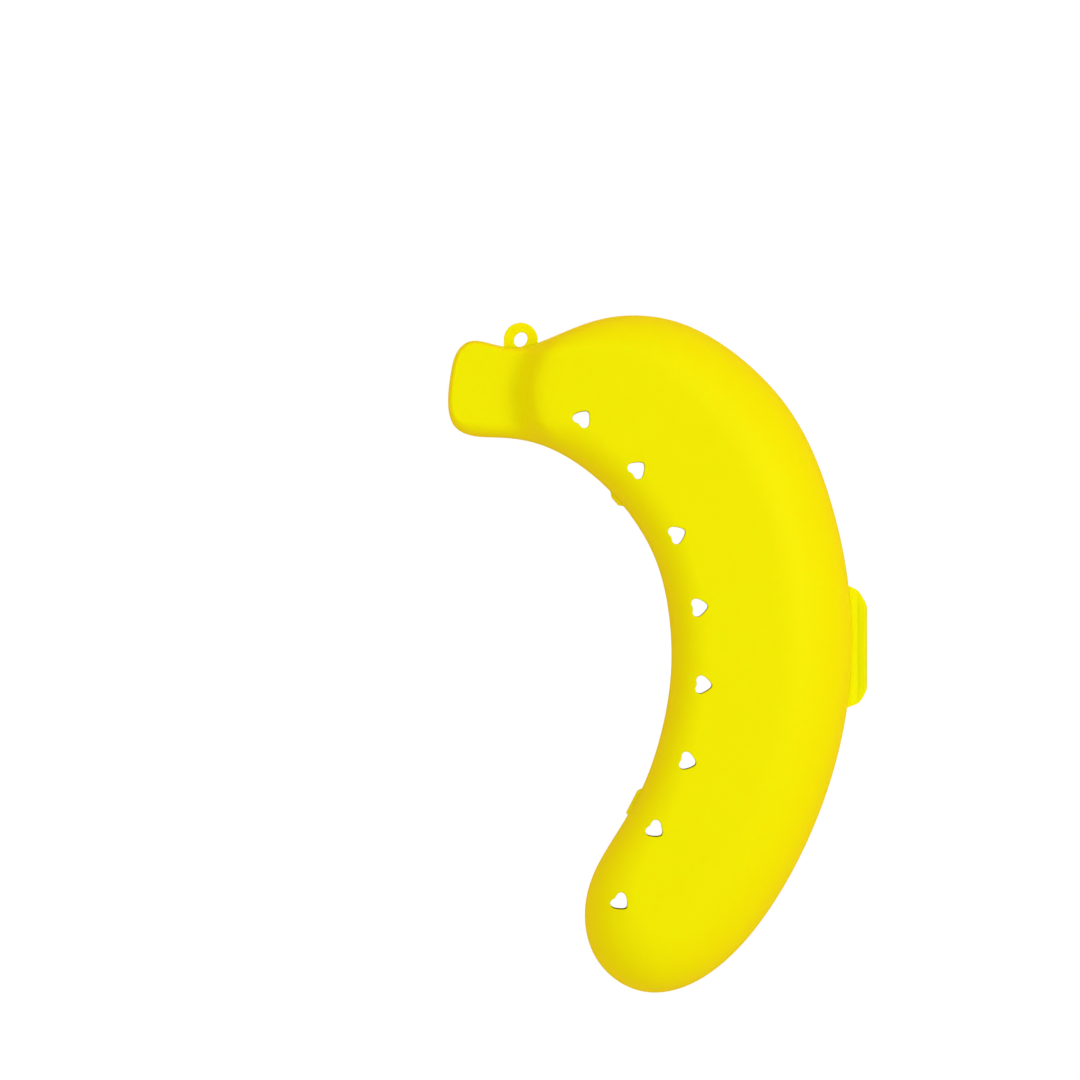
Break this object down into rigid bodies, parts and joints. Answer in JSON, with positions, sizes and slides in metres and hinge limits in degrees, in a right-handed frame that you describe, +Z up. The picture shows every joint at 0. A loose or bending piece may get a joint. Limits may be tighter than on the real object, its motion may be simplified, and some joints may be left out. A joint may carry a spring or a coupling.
{
  "type": "banana storage case",
  "caption": "Banana-shaped plastic travel case with a living hinge, heart-shaped air vents, snap latches and a hanging loop by the stem.",
  "frame": {"origin": "centre of the closed case's bounding box, on the surface it lies on", "axes": "+Z up out of the back shell towards the front shell, +Y along the length towards the stem end, -X towards the stem and the inner side of the bend, +X towards the hinge"},
  "size_m": [0.1173, 0.1895, 0.044],
  "materials": {
    "shell_plastic": "satin moulded polypropylene, lemon yellow",
    "hinge_plastic": "thin flexed polypropylene, lemon yellow, slightly paler than the shells"
  },
  "bodies": {
    "back_half": {"back_shell": "shell_plastic", "living_hinge": "hinge_plastic"},
    "front_half": {"front_shell": "shell_plastic"}
  },
  "joints": [
    {"name": "lid_hinge", "type": "hinge", "parent": "back_half", "child": "front_half", "pos_m": [0.0577, 0.0018, 0.022], "axis": [0, 1, 0], "range_deg": [0, 180], "deforming": ["living_hinge"]}
  ]
}
